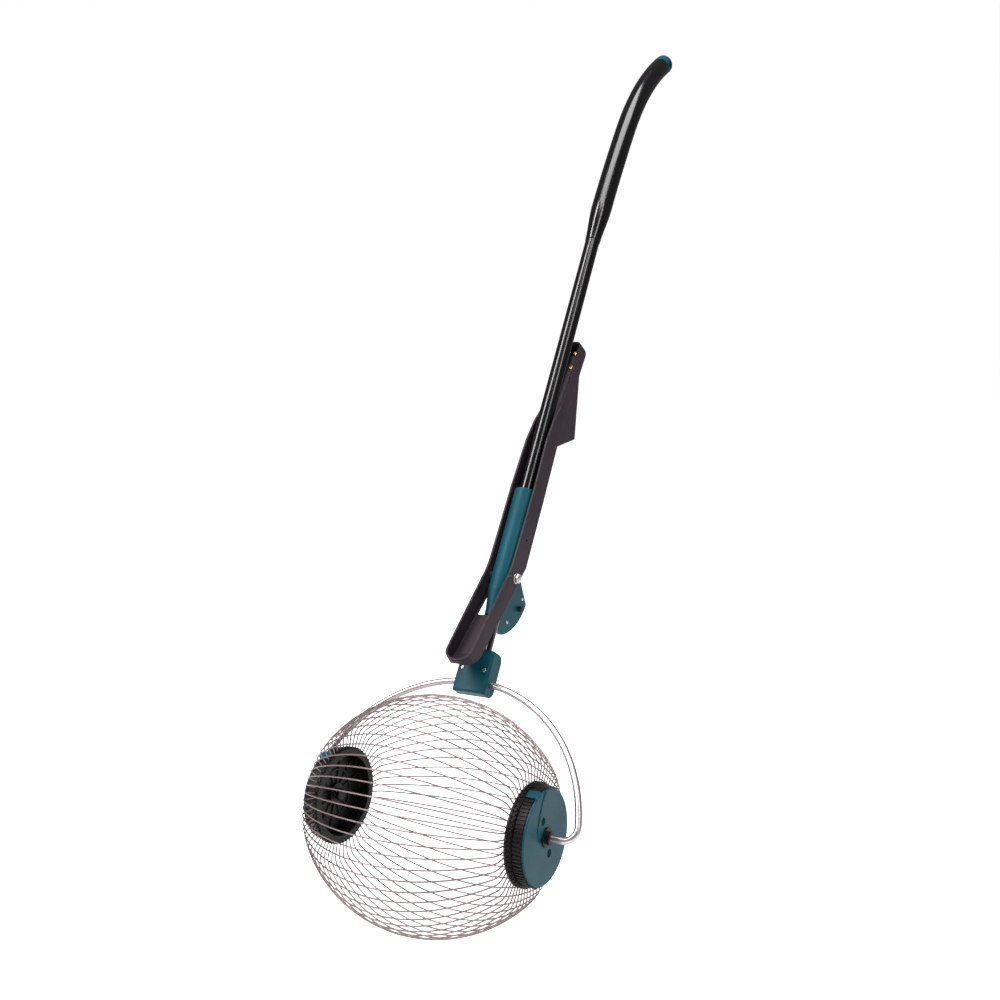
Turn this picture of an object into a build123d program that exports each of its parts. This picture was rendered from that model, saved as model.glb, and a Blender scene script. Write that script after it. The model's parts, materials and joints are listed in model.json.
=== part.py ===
from build123d import *
from math import atan2, cos, radians, sin, sqrt, tan
import os

# Rolling wire gatherer for fallen fruit: a wire cage on a bail, a long handle, a swing arm.
# Millimetres. X is the cage's rolling axis, +Y points to the user, +Z is up.
# The origin is the point of the ground under the cage's centre.

os.makedirs("parts", exist_ok=True)

# Cage
CAGE_R = 150.0          # largest radius, out to the wires' centre line
WIRE_R = 0.9
WIRE_COUNT = 60
WIRE_ARC_R = 190.0      # each wire's long bow
WIRE_BEND_R = 18.0      # bend into the hub
SEAT_X = 142.0          # plane where the wires are clamped
WIRE_END_R = 56.5       # inner end of a wire
WIRE_PHASE = 4.5        # degrees
WIRE_GROUPS = ("rear", "top", "front", "bottom")

# Hubs
TOOTH_R = 64.0
FLANGE_R = 62.2
BARREL_R = 59.6
RIB_R = 61.0
RIB_COUNT = 76
HUB_INNER_R = 56.0
CLAMP_INNER_R = 53.0
RING_X = SEAT_X - 4.0
FLANGE_X = SEAT_X + 5.5
HUB_X = SEAT_X + 18.0   # outer face of the hub
HUB_WALL = 3.0
BOSS_R = 14.0
CAP_R = 58.8
CAP_X = HUB_X + 3.0
BUSH_R = 9.0
BUSH_FLANGE_R = 12.3
CAP_SCREW_R = 23.5
CAP_SCREW_HEAD_R = 5.0
TAB_ANGLE = 108.0
TAB_SPAN = 14.0
PLAIN_SPAN = (54.0, 101.0)
TOOTH_GAP = 2.6
RIB_WIDTH = 2.5
BOSS_DEPTH = 5.0
GUSSET_COUNT = 12
GUSSET = (6.0, 1.6, 9.0)    # length, thickness and height of a gusset inside the barrel
WEB = (1.4, 2.0)            # thickness and height of a web inside the floor
WEB_RING_R = 32.0
GROOVE_WIDTH = 6.0
GROOVE_DEPTH = 1.0
TAB_RISE = 0.8
CAP_SCREW_SINK = 2.0
BUSH_FLANGE = 2.0
BUSH_NOSE = 5.0
END_CAP_R = 8.0         # push-on cap over each end of the bail
END_CAP_DEPTH = 4.8

# Bail
ROD_R = 4.5
BAIL_R = 204.3
BAIL_DROP = 21.5        # centre of the bail's arc, below the rolling axis
BAIL_BEND_R = 16.0
BAIL_TILT = 54.2        # degrees above the ground
ROD_END_X = 146.0

# Handle line
HANDLE_TILT = 59.8
HANDLE_SET_BACK = 17.7
TUBE_R = 11.0
TUBE_WALL = 1.4
TUBE_FOOT = 190.0
TUBE_JOINT = 811.0
SPIGOT = 60.0
GRIP_START = 900.0
GRIP_TAPER = 72.0
GRIP_R = 16.0
BEND_START = 1130.0
SWEEP_R = 2500.0        # first, gentle bend
BEND_R = 470.0
CAP_START = 1330.0
HANDLE_END = 1353.0
HANG_HOLE_R = 7.0
CAP_PLUG_R = 7.3
CAP_PLUG_LENGTH = 24.0

# Sleeve and sector
SLEEVE_FOOT = 275.0
SLEEVE_TOP = 466.0
SLEEVE_R = 16.0
SLEEVE_FOOT_R = 12.0    # the sleeve narrows to its foot
SLEEVE_NECK = (284.0, 312.0)
SECTOR_FOOT = (262.0, 11.5)
PIVOT = 334.0
PIVOT_R = 4.0
PIVOT_BOSS_R = 8.5
SECTOR_HALF = 2.5
SECTOR_R = 80.0
SECTOR_SCREW_R = 64.5
PEG_R = 4.0
PEG_ARM = 65.0
PEG_ANGLE = 111.6
PEG_STAND = 6.0
SECTOR_SCREW_ANGLES = (96.5, 144.0)
SECTOR_EDGE = (97.5, 157.0)     # the sector's two ends, as angles about the pivot
SECTOR_NECK = 376.0

# Arm
ARM_HALF = 20.1
ARM_WALL = 2.6
ARM_BACK = 21.5
ARM_FLOOR = 3.0
ARM_TILT = 18.4
ARM_TIP = 735.0

# Coupling
BLOCK_HALF = 25.0
BLOCK_FOOT = 163.5
BLOCK_TOP = 224.0
BLOCK_FRONT = -17.0
BLOCK_BACK = 14.0
BLOCK_SPLIT = 0.0
BLOCK_SCREW = (16.7, 196.0)
BLOCK_EDGE_R = 11.0     # rounding along the block's back edges
BLOCK_SIDE_R = 2.0
BLOCK_BOW = 2.5         # the front face bows out by this much
BLOCK_CORNER_R = 5.0
BLOCK_FRONT_R = 3.0
SCREW_SINK = 4.0
SCREW_HEAD_R = 3.9

CLEAR = 0.1             # play between two pieces of one assembly

tilt = radians(HANDLE_TILT)
ALONG = Vector(0, cos(tilt), sin(tilt))
BEHIND = Vector(0, sin(tilt), -cos(tilt))
CENTRE = Vector(0, 0, CAGE_R)
FOOT = CENTRE + BEHIND * HANDLE_SET_BACK
handle = Plane(origin=FOOT, x_dir=(1, 0, 0), z_dir=ALONG)       # x across, y behind, z along
side = Plane(origin=FOOT, x_dir=ALONG, z_dir=(-1, 0, 0))        # x along, y behind
axle = Plane(origin=CENTRE, x_dir=(0, 1, 0), z_dir=(1, 0, 0))   # x rearward, y up, z along the axle
bail_dir = Vector(0, cos(radians(BAIL_TILT)), sin(radians(BAIL_TILT)))
bail_plane = Plane(origin=CENTRE, x_dir=(1, 0, 0), z_dir=Vector(1, 0, 0).cross(bail_dir))


def save(piece, name):
    piece.part.label = name
    export_step(piece.part, f"parts/{name}.step")


def along(distance):
    """Plane square to the handle at a distance from its foot."""
    return handle.offset(distance)


def across(offset):
    """Plane parallel to the side view, at an x position."""
    return side.offset(-offset)


def polar(radius, angle):
    """Point at a radius and angle about the arm's pivot, in the side view."""
    return (PIVOT + radius * cos(radians(angle)), radius * sin(radians(angle)))


# ---------------------------------------------------------------- cage wires

bow_y = WIRE_ARC_R - CAGE_R
bend_x = SEAT_X - WIRE_BEND_R
bend_y = sqrt((WIRE_ARC_R - WIRE_BEND_R) ** 2 - bend_x**2) - bow_y
touch = WIRE_ARC_R / (WIRE_ARC_R - WIRE_BEND_R)
touch_x = bend_x * touch
touch_y = (bend_y + bow_y) * touch - bow_y
knee = radians(20)
knee_x = bend_x + WIRE_BEND_R * cos(knee)
knee_y = bend_y + WIRE_BEND_R * sin(knee)

with BuildPart() as one_wire:
    with BuildLine(Plane.XZ) as wire_path:
        Line((WIRE_END_R, -SEAT_X), (bend_y, -SEAT_X))
        ThreePointArc((bend_y, -SEAT_X), (knee_y, -knee_x), (touch_y, -touch_x))
        ThreePointArc((touch_y, -touch_x), (CAGE_R, 0), (touch_y, touch_x))
        ThreePointArc((touch_y, touch_x), (knee_y, knee_x), (bend_y, SEAT_X))
        Line((bend_y, SEAT_X), (WIRE_END_R, SEAT_X))
    with BuildSketch(Plane(origin=(WIRE_END_R, 0, -SEAT_X), z_dir=(1, 0, 0))):
        Circle(WIRE_R)
    sweep()

group_count = WIRE_COUNT // len(WIRE_GROUPS)
for index, group in enumerate(WIRE_GROUPS):
    first = WIRE_PHASE + index * 360 / len(WIRE_GROUPS) - (group_count // 2 + 1) * 360 / WIRE_COUNT
    span = 360 / len(WIRE_GROUPS)
    with BuildPart(axle) as cage_wires:
        with PolarLocations(0, group_count, start_angle=first, angular_range=span):
            add(one_wire.part)
    save(cage_wires, f"wires_{group}")


# ---------------------------------------------------------------- hubs

def slotted(radius, inner, slot):
    """Ring with a slot for each wire, open through its rim."""
    Circle(radius)
    Circle(inner, mode=Mode.SUBTRACT)
    middle = (radius + inner) / 2 + 1
    with PolarLocations(middle, WIRE_COUNT, start_angle=WIRE_PHASE):
        Rectangle(radius - inner + 6, slot, mode=Mode.SUBTRACT)


def toothed():
    """Ring with a tooth on each side of every wire."""
    Circle(TOOTH_R)
    Circle(FLANGE_R - 0.5, mode=Mode.SUBTRACT)
    with PolarLocations(TOOTH_R, WIRE_COUNT, start_angle=WIRE_PHASE):
        Rectangle(TOOTH_R - FLANGE_R + 3, TOOTH_GAP, mode=Mode.SUBTRACT)


def make_wire_ring(flip):
    """Clamp ring on the cage side of the wires."""
    with BuildPart() as ring:
        with BuildSketch(axle.offset(flip * RING_X)):
            Circle(FLANGE_R)
            Circle(CLAMP_INNER_R, mode=Mode.SUBTRACT)
        extrude(amount=flip * (SEAT_X - RING_X - 1))
        with BuildSketch(axle.offset(flip * (SEAT_X - 1))):
            slotted(FLANGE_R, CLAMP_INNER_R, 2 * WIRE_R + 2 * CLEAR)
        extrude(amount=flip * 1)
        with BuildSketch(axle.offset(flip * (RING_X + 1))):
            toothed()
        extrude(amount=flip * (SEAT_X - RING_X - 1))
    return ring


def rib_angles():
    """Angles of the barrel's ribs, which leave out the plain stretch and the cap's tab."""
    pitch = 360 / RIB_COUNT
    angles = [i * pitch for i in range(RIB_COUNT)]
    low = PLAIN_SPAN[0] - pitch / 2
    high = TAB_ANGLE + TAB_SPAN / 2 + pitch / 2
    return [a for a in angles if a < low or a > high]


def make_hub(flip):
    """Cup of a hub: toothed flange, ribbed barrel, outer floor, boss and gussets."""
    floor_x = HUB_X - HUB_WALL
    plain = PLAIN_SPAN[1] - PLAIN_SPAN[0]
    with BuildPart() as hub:
        with BuildSketch(axle.offset(flip * (SEAT_X + 1))):
            Circle(FLANGE_R)
            Circle(HUB_INNER_R, mode=Mode.SUBTRACT)
        extrude(amount=flip * (FLANGE_X - SEAT_X - 1))
        with BuildSketch(axle.offset(flip * (SEAT_X + 1))):
            slotted(FLANGE_R, HUB_INNER_R, 2 * WIRE_R + 2 * CLEAR)
        extrude(amount=-flip * 1)
        with BuildSketch(axle.offset(flip * (SEAT_X + 1))):
            toothed()
        extrude(amount=flip * (FLANGE_X - SEAT_X - 2))
        with BuildSketch(axle.offset(flip * (SEAT_X + 1))):
            Circle(BARREL_R)
            Circle(HUB_INNER_R, mode=Mode.SUBTRACT)
        extrude(amount=flip * (HUB_X - SEAT_X - 1))
        with BuildSketch(axle.offset(flip * floor_x)):
            Circle(HUB_INNER_R + 1)
            Circle(BUSH_R, mode=Mode.SUBTRACT)
        extrude(amount=flip * HUB_WALL)
        with BuildSketch(axle.offset(flip * (floor_x - BOSS_DEPTH))):
            Circle(BOSS_R)
            Circle(BUSH_R, mode=Mode.SUBTRACT)
        extrude(amount=flip * BOSS_DEPTH)
        with BuildSketch(axle.offset(flip * (floor_x - WEB[1]))):
            Circle(WEB_RING_R + 1)
            Circle(WEB_RING_R - 1, mode=Mode.SUBTRACT)
            with PolarLocations((BOSS_R + HUB_INNER_R) / 2, GUSSET_COUNT, start_angle=15):
                Rectangle(HUB_INNER_R - BOSS_R + 1, WEB[0])
        extrude(amount=flip * WEB[1])
        with BuildSketch(axle.offset(flip * (floor_x - GUSSET[2]))):
            with PolarLocations(HUB_INNER_R - GUSSET[0] / 2 + 0.5, GUSSET_COUNT, start_angle=15):
                Rectangle(GUSSET[0], GUSSET[1])
        extrude(amount=flip * GUSSET[2])
        with BuildSketch(axle.offset(flip * (FLANGE_X + 1.5))):
            for angle in rib_angles():
                with PolarLocations(RIB_R - 1.2, 1, start_angle=angle):
                    Rectangle(2.4, RIB_WIDTH)
        extrude(amount=flip * (HUB_X - FLANGE_X - 1.7))
        with BuildSketch(axle.offset(flip * (FLANGE_X - 0.5))):
            with BuildLine():
                low = CenterArc((0, 0), BARREL_R - 0.5, PLAIN_SPAN[0], plain)
                high = CenterArc((0, 0), RIB_R, PLAIN_SPAN[0], plain)
                Line(low @ 0, high @ 0)
                Line(low @ 1, high @ 1)
            make_face()
        extrude(amount=flip * (HUB_X - FLANGE_X + 0.5))
        with BuildSketch(axle.offset(flip * (HUB_X + 1))):
            with PolarLocations(CAP_SCREW_R, 2, start_angle=TAB_ANGLE + 2):
                Circle(1.6)
        extrude(amount=-flip * 12, mode=Mode.SUBTRACT)
    return hub


def make_cap(flip):
    """Outer cover of a hub, with its moulded groove and the tab that crosses the barrel."""
    start = TAB_ANGLE - TAB_SPAN / 2 + 1
    with BuildPart() as cap:
        with BuildSketch(axle.offset(flip * (HUB_X + CLEAR / 2))):
            Circle(CAP_R)
        extrude(amount=flip * (CAP_X - HUB_X - CLEAR / 2))
        fillet(cap.edges().filter_by(GeomType.CIRCLE).sort_by(Axis.X)[-1 if flip > 0 else 0], 1.2)
        with BuildSketch(axle.offset(flip * (FLANGE_X + CLEAR))):
            with BuildLine():
                low = CenterArc((0, 0), BARREL_R + CLEAR, start, TAB_SPAN - 2)
                high = CenterArc((0, 0), RIB_R + TAB_RISE, start, TAB_SPAN - 2)
                Line(low @ 0, high @ 0)
                Line(low @ 1, high @ 1)
            make_face()
        extrude(amount=flip * (CAP_X - FLANGE_X - 0.8))
        with BuildSketch(axle.offset(flip * (HUB_X + CLEAR / 2))):
            with BuildLine():
                low = CenterArc((0, 0), CAP_R - 2, start, TAB_SPAN - 2)
                high = CenterArc((0, 0), RIB_R + TAB_RISE, start, TAB_SPAN - 2)
                Line(low @ 0, high @ 0)
                Line(low @ 1, high @ 1)
            make_face()
        extrude(amount=flip * (CAP_X - HUB_X - 0.9))
        with BuildSketch(axle.offset(flip * CAP_X)):
            with BuildLine():
                run = ThreePointArc((0, CAP_R + 3), (-19, 31), (-24, 14))
                ThreePointArc(run @ 1, (-17, 2), (-8, 0))
            trace(line_width=GROOVE_WIDTH)
        extrude(amount=-flip * GROOVE_DEPTH, mode=Mode.SUBTRACT)
        with BuildSketch(axle.offset(flip * CAP_X)):
            Circle(BUSH_R)
        extrude(amount=-flip * 8, mode=Mode.SUBTRACT)
        with BuildSketch(axle.offset(flip * CAP_X)):
            with PolarLocations(CAP_SCREW_R, 2, start_angle=TAB_ANGLE + 2):
                Circle(CAP_SCREW_HEAD_R + 0.3)
        extrude(amount=-flip * CAP_SCREW_SINK, mode=Mode.SUBTRACT)
        with BuildSketch(axle.offset(flip * CAP_X)):
            with PolarLocations(CAP_SCREW_R, 2, start_angle=TAB_ANGLE + 2):
                Circle(1.7)
        extrude(amount=-flip * 8, mode=Mode.SUBTRACT)
    return cap


def make_bush(flip):
    """Flanged bearing bush, pressed into the hub's boss."""
    floor_x = HUB_X - HUB_WALL - BOSS_DEPTH
    with BuildPart() as bush:
        with BuildSketch(axle.offset(flip * floor_x)):
            Circle(BUSH_R - 0.02)
        extrude(amount=flip * (CAP_X - floor_x))
        with BuildSketch(axle.offset(flip * CAP_X)):
            Circle(BUSH_FLANGE_R)
        extrude(amount=flip * BUSH_FLANGE)
        with BuildSketch(axle.offset(flip * (CAP_X + BUSH_FLANGE))):
            Circle(BUSH_R - 1)
        extrude(amount=flip * BUSH_NOSE)
        with BuildSketch(axle.offset(flip * floor_x)):
            Circle(ROD_R + 0.05)
        extrude(amount=flip * 30, mode=Mode.SUBTRACT)
        fillet(bush.edges().filter_by(GeomType.CIRCLE).group_by(SortBy.RADIUS)[-1], 0.6)
    return bush


for side_name, flip in (("left", -1), ("right", 1)):
    save(make_wire_ring(flip), f"wire_ring_{side_name}")
    save(make_hub(flip), f"hub_{side_name}")
    save(make_cap(flip), f"cap_{side_name}")
    save(make_bush(flip), f"bush_{side_name}")

with BuildPart() as cap_screws:
    for flip in (-1, 1):
        with BuildSketch(axle.offset(flip * (CAP_X - 1.95))):
            with PolarLocations(CAP_SCREW_R, 2, start_angle=TAB_ANGLE + 2):
                Circle(CAP_SCREW_HEAD_R)
                Circle(2, mode=Mode.SUBTRACT)
        extrude(amount=flip * 1.3)
        with BuildSketch(axle.offset(flip * (CAP_X - 1.95))):
            with PolarLocations(CAP_SCREW_R, 2, start_angle=TAB_ANGLE + 2):
                Circle(2.2)
        extrude(amount=flip * 0.6)
        with BuildSketch(axle.offset(flip * (CAP_X - 1.75))):
            with PolarLocations(CAP_SCREW_R, 2, start_angle=TAB_ANGLE + 2):
                Circle(1.5)
        extrude(amount=-flip * PEG_STAND)
save(cap_screws, "cap_screws")


# ---------------------------------------------------------------- bail

gap = BAIL_R - BAIL_BEND_R
corner_x = sqrt(gap**2 - (BAIL_BEND_R + BAIL_DROP) ** 2)
ratio = BAIL_R / gap
join_x = corner_x * ratio
join_y = (BAIL_BEND_R + BAIL_DROP) * ratio - BAIL_DROP
turn = radians(-40)
turn_x = corner_x + BAIL_BEND_R * cos(turn)
turn_y = BAIL_BEND_R + BAIL_BEND_R * sin(turn)


def rod_along(radius):
    """Round rod swept along the bail's path."""
    with BuildPart() as rod:
        with BuildLine(bail_plane) as path:
            Line((-ROD_END_X, 0), (-corner_x, 0))
            ThreePointArc((-corner_x, 0), (-turn_x, turn_y), (-join_x, join_y))
            ThreePointArc((-join_x, join_y), (0, BAIL_R - BAIL_DROP), (join_x, join_y))
            ThreePointArc((join_x, join_y), (turn_x, turn_y), (corner_x, 0))
            Line((corner_x, 0), (ROD_END_X, 0))
        with BuildSketch(axle.offset(-ROD_END_X)):
            Circle(radius)
        sweep(path=path.line)
    return rod


bail_rod = rod_along(ROD_R)
save(bail_rod, "bail_rod")
bail_space = rod_along(ROD_R + CLEAR).part

with BuildPart() as rod_caps:
    for flip in (-1, 1):
        with BuildSketch(axle.offset(flip * (ROD_END_X + 2.7))):
            Circle(END_CAP_R)
        extrude(amount=-flip * END_CAP_DEPTH)
    fillet(rod_caps.edges().group_by(lambda e: round(abs(e.center().X), 2))[0], 2)
    for flip in (-1, 1):
        with BuildSketch(axle.offset(flip * (ROD_END_X - CLEAR))):
            Circle(ROD_R + CLEAR / 2)
        extrude(amount=flip * END_CAP_DEPTH, mode=Mode.SUBTRACT)
save(rod_caps, "rod_caps")


# ---------------------------------------------------------------- coupling

def is_outer_edge(edge, split_y):
    """True for an edge round the block's top or foot, away from the split."""
    place = handle.to_local_coords(edge.center())
    level = min(abs(place.Z - BLOCK_TOP), abs(place.Z - BLOCK_FOOT)) < 0.01
    return level and abs(place.Y - split_y) > 0.5


def coupling_half(front):
    """Half of the block that clamps the bail to the foot of the handle."""
    far = BLOCK_FRONT if front else BLOCK_BACK
    sign = -1 if front else 1
    with BuildPart() as block:
        with BuildSketch(along(BLOCK_FOOT)) as block_plan:
            with BuildLine():
                shoulder = far + BLOCK_BOW if front else far
                Line((-BLOCK_HALF, BLOCK_SPLIT), (-BLOCK_HALF, shoulder))
                if front:
                    ThreePointArc((-BLOCK_HALF, shoulder), (0, far), (BLOCK_HALF, shoulder))
                else:
                    Line((-BLOCK_HALF, shoulder), (BLOCK_HALF, shoulder))
                Polyline((BLOCK_HALF, shoulder), (BLOCK_HALF, BLOCK_SPLIT), (-BLOCK_HALF, BLOCK_SPLIT))
            make_face()
            if front:
                fillet(block_plan.vertices().group_by(Axis.Y)[0], BLOCK_CORNER_R)
        extrude(amount=BLOCK_TOP - BLOCK_FOOT)
        if front:
            fillet(block.edges().filter_by(lambda e: is_outer_edge(e, BLOCK_SPLIT)), BLOCK_FRONT_R)
        else:
            fillet(block.edges().filter_by(Axis.X).filter_by(
                lambda e: abs(handle.to_local_coords(e.center()).Y - far) < 0.1), BLOCK_EDGE_R)
            fillet(block.faces().filter_by(Axis.X).edges().filter_by(
                lambda e: abs(handle.to_local_coords(e.center()).Y - BLOCK_SPLIT) > 1), BLOCK_SIDE_R)
        with BuildSketch(along(TUBE_FOOT)):
            Circle(TUBE_R + CLEAR / 2)
        extrude(amount=80, mode=Mode.SUBTRACT)
        add(bail_space, mode=Mode.SUBTRACT)
        shank = 2.2 if front else 1.7
        depth = -BLOCK_FRONT + 2 if front else BLOCK_BACK + 3
        for x in (-BLOCK_SCREW[0], BLOCK_SCREW[0]):
            hole_plane = Plane(origin=handle.from_local_coords(Vector(x, far + sign, BLOCK_SCREW[1])),
                               x_dir=(1, 0, 0), z_dir=BEHIND * sign)
            with BuildSketch(hole_plane):
                Circle(shank)
            extrude(amount=-depth, mode=Mode.SUBTRACT)
            if front:
                with BuildSketch(hole_plane):
                    Circle(SCREW_HEAD_R + 0.3)
                extrude(amount=-SCREW_SINK, mode=Mode.SUBTRACT)
    return block


save(coupling_half(True), "coupling_front")
save(coupling_half(False), "coupling_back")

with BuildPart() as coupling_screws:
    for x in (-BLOCK_SCREW[0], BLOCK_SCREW[0]):
        seat = Plane(origin=handle.from_local_coords(Vector(x, BLOCK_FRONT + 3, BLOCK_SCREW[1])),
                     x_dir=(1, 0, 0), z_dir=-BEHIND)
        with BuildSketch(seat):
            Circle(SCREW_HEAD_R)
        extrude(amount=2.2)
        with BuildSketch(seat):
            Circle(1.65)
        extrude(amount=-(abs(BLOCK_FRONT) + 4))
        with BuildSketch(seat.offset(2.2)):
            Rectangle(5, 0.9)
            Rectangle(0.9, 5)
        extrude(amount=-1.2, mode=Mode.SUBTRACT)
save(coupling_screws, "coupling_screws")


# ---------------------------------------------------------------- tubes and grip

first_turn = (BEND_START - GRIP_START) / SWEEP_R


def handle_point(distance):
    """Point and heading on the handle's bent end, at a distance along it."""
    if distance <= BEND_START:
        turn_now = (distance - GRIP_START) / SWEEP_R
        return (GRIP_START + SWEEP_R * sin(turn_now), SWEEP_R * (1 - cos(turn_now))), turn_now
    base, _ = handle_point(BEND_START)
    turn_now = first_turn + (distance - BEND_START) / BEND_R
    x = base[0] + BEND_R * (sin(turn_now) - sin(first_turn))
    y = base[1] + BEND_R * (cos(first_turn) - cos(turn_now))
    return (x, y), turn_now


def bent_path(start, end):
    """Arcs of the bent end between two distances."""
    marks = [start, BEND_START, end] if start < BEND_START < end else [start, end]
    for low, high in zip(marks, marks[1:]):
        ThreePointArc(handle_point(low)[0], handle_point((low + high) / 2)[0], handle_point(high)[0])


def square_to(distance):
    """Plane square to the bent end at a distance along it."""
    point, heading = handle_point(distance)
    normal = ALONG * cos(heading) + BEHIND * sin(heading)
    return Plane(origin=side.from_local_coords(Vector(*point)), x_dir=(1, 0, 0), z_dir=normal)


with BuildPart() as lower_tube:
    with BuildSketch(along(TUBE_FOOT)):
        Circle(TUBE_R)
        Circle(TUBE_R - TUBE_WALL, mode=Mode.SUBTRACT)
    extrude(amount=TUBE_JOINT - TUBE_FOOT - 0.4)
    with BuildSketch(across(0)):
        with Locations((PIVOT, 0)):
            Circle(PIVOT_R + CLEAR / 2)
    extrude(amount=30, both=True, mode=Mode.SUBTRACT)
save(lower_tube, "lower_tube")

with BuildPart() as upper_tube:
    with BuildSketch(along(TUBE_JOINT - SPIGOT)):
        Circle(TUBE_R - TUBE_WALL - 0.05)
        Circle(TUBE_R - 2 * TUBE_WALL, mode=Mode.SUBTRACT)
    extrude(amount=SPIGOT + 2)
    with BuildSketch(along(TUBE_JOINT)):
        Circle(TUBE_R)
        Circle(TUBE_R - TUBE_WALL - 0.05, mode=Mode.SUBTRACT)
    extrude(amount=GRIP_START - TUBE_JOINT)
    with BuildSketch(along(TUBE_JOINT + 2)):
        Circle(TUBE_R - TUBE_WALL)
        Circle(TUBE_R - 2 * TUBE_WALL, mode=Mode.SUBTRACT)
    extrude(amount=GRIP_START - TUBE_JOINT - 2)
    with BuildLine(side) as upper_path:
        bent_path(GRIP_START, CAP_START - 1)
    with BuildSketch(along(GRIP_START)):
        Circle(TUBE_R)
        Circle(TUBE_R - 2 * TUBE_WALL, mode=Mode.SUBTRACT)
    sweep(path=upper_path.line)
save(upper_tube, "upper_tube")

with BuildPart() as grip:
    with BuildLine(side) as grip_path:
        bent_path(GRIP_START + GRIP_TAPER, CAP_START)
    with BuildSketch(square_to(GRIP_START + GRIP_TAPER)):
        Circle(GRIP_R)
    sweep(path=grip_path.line)
    with BuildSketch(square_to(GRIP_START + 1)):
        Circle(TUBE_R + 0.8)
    with BuildSketch(square_to(GRIP_START + GRIP_TAPER * 0.4)):
        Circle(TUBE_R + 2.6)
    with BuildSketch(square_to(GRIP_START + GRIP_TAPER * 0.8)):
        Circle(GRIP_R - 0.2)
    with BuildSketch(square_to(GRIP_START + GRIP_TAPER)):
        Circle(GRIP_R)
    loft()
    with BuildLine(side) as grip_bore:
        bent_path(GRIP_START, CAP_START + 1)
    with BuildSketch(square_to(GRIP_START)):
        Circle(TUBE_R + CLEAR / 2)
    sweep(path=grip_bore.line, mode=Mode.SUBTRACT)
save(grip, "grip")

with BuildPart() as end_cap:
    with BuildLine(side) as cap_path:
        bent_path(CAP_START + CLEAR, HANDLE_END)
    with BuildSketch(square_to(CAP_START + CLEAR)):
        Circle(GRIP_R)
    sweep(path=cap_path.line)
    fillet(end_cap.faces().sort_by(Axis.Y)[-1].edges(), 5)
    hang_centre = handle_point((CAP_START + HANDLE_END) / 2 - 0.5)[0]
    with BuildSketch(across(0)):
        with Locations(hang_centre):
            Circle(HANG_HOLE_R)
    extrude(amount=30, both=True, mode=Mode.SUBTRACT)
    with BuildSketch(square_to(CAP_START + 1)):
        Circle(CAP_PLUG_R)
    extrude(amount=-CAP_PLUG_LENGTH)
save(end_cap, "end_cap")


# ---------------------------------------------------------------- sleeve and sector

sector_holes = [polar(SECTOR_SCREW_R, angle) for angle in SECTOR_SCREW_ANGLES]


def make_sleeve(flip):
    """Half of the moulded sleeve, with its pivot boss and its half of the sector plate."""
    corner = polar(SECTOR_R, SECTOR_EDGE[0])
    heel = polar(SECTOR_R, SECTOR_EDGE[1])
    middle = polar(SECTOR_R, sum(SECTOR_EDGE) / 2)
    with BuildPart() as sleeve:
        with BuildSketch(along(SLEEVE_FOOT)):
            Circle(SLEEVE_FOOT_R)
        extrude(amount=SLEEVE_NECK[0] - SLEEVE_FOOT)
        with BuildSketch(along(SLEEVE_NECK[0])):
            Circle(SLEEVE_FOOT_R)
        with BuildSketch(along(SLEEVE_NECK[1])):
            Circle(SLEEVE_R)
        loft()
        with BuildSketch(along(SLEEVE_NECK[1])):
            Circle(SLEEVE_R)
        extrude(amount=SLEEVE_TOP - SLEEVE_NECK[1])
        with BuildSketch(across(0)):
            with BuildLine():
                Polyline((SECTOR_NECK, 6), corner)
                ThreePointArc(corner, middle, heel)
                Polyline(heel, SECTOR_FOOT, (SLEEVE_FOOT, SECTOR_FOOT[1]), (SLEEVE_FOOT, 0),
                         (SECTOR_NECK, 0), (SECTOR_NECK, 6))
            make_face()
        extrude(amount=SECTOR_HALF, both=True)
        with BuildSketch(across(0)):
            with Locations((PIVOT, 0)):
                Circle(PIVOT_BOSS_R)
        extrude(amount=ARM_HALF - ARM_WALL - 0.3, both=True)
        fillet(sleeve.edges().filter_by(Axis.X).filter_by(
            lambda e: (side.to_local_coords(e.center()) - Vector(*corner)).length < 1), 4)
        with BuildSketch(along(SLEEVE_FOOT - 1)):
            Circle(TUBE_R + CLEAR / 2)
        extrude(amount=SLEEVE_TOP - SLEEVE_FOOT + 2, mode=Mode.SUBTRACT)
        with BuildSketch(across(0)):
            with Locations((PIVOT, 0)):
                Circle(PIVOT_R + CLEAR / 2)
            with Locations(*sector_holes):
                Circle(1.5)
            with Locations(polar(PEG_ARM, PEG_ANGLE)):
                Circle(PEG_R - 1)
        extrude(amount=40, both=True, mode=Mode.SUBTRACT)
        split(bisect_by=Plane.YZ, keep=Keep.TOP if flip > 0 else Keep.BOTTOM)
    return sleeve


save(make_sleeve(-1), "sleeve_left")
save(make_sleeve(1), "sleeve_right")

with BuildPart() as sector_screws:
    with BuildSketch(across(-SECTOR_HALF - 0.8)):
        with Locations(*sector_holes):
            Circle(1.48)
    extrude(amount=-2 * SECTOR_HALF - 0.8)
    with BuildSketch(across(SECTOR_HALF)):
        with Locations(*sector_holes):
            Circle(2.9)
    extrude(amount=-1.5)
    fillet(sector_screws.faces().sort_by(Axis.X)[-2:].edges(), 0.7)
save(sector_screws, "sector_screws")

with BuildPart() as stop_peg:
    for flip in (-1, 1):
        with BuildSketch(across(flip * SECTOR_HALF)):
            with Locations(polar(PEG_ARM, PEG_ANGLE)):
                Circle(PEG_R)
        extrude(amount=-flip * PEG_STAND)
    with BuildSketch(across(0)):
        with Locations(polar(PEG_ARM, PEG_ANGLE)):
            Circle(PEG_R - 1.02)
    extrude(amount=SECTOR_HALF, both=True)
    fillet(stop_peg.faces().filter_by(Axis.X).sort_by(Axis.X)[0].edges(), 1.2)
    fillet(stop_peg.faces().filter_by(Axis.X).sort_by(Axis.X)[-1].edges(), 1.2)
save(stop_peg, "stop_peg")


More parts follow.
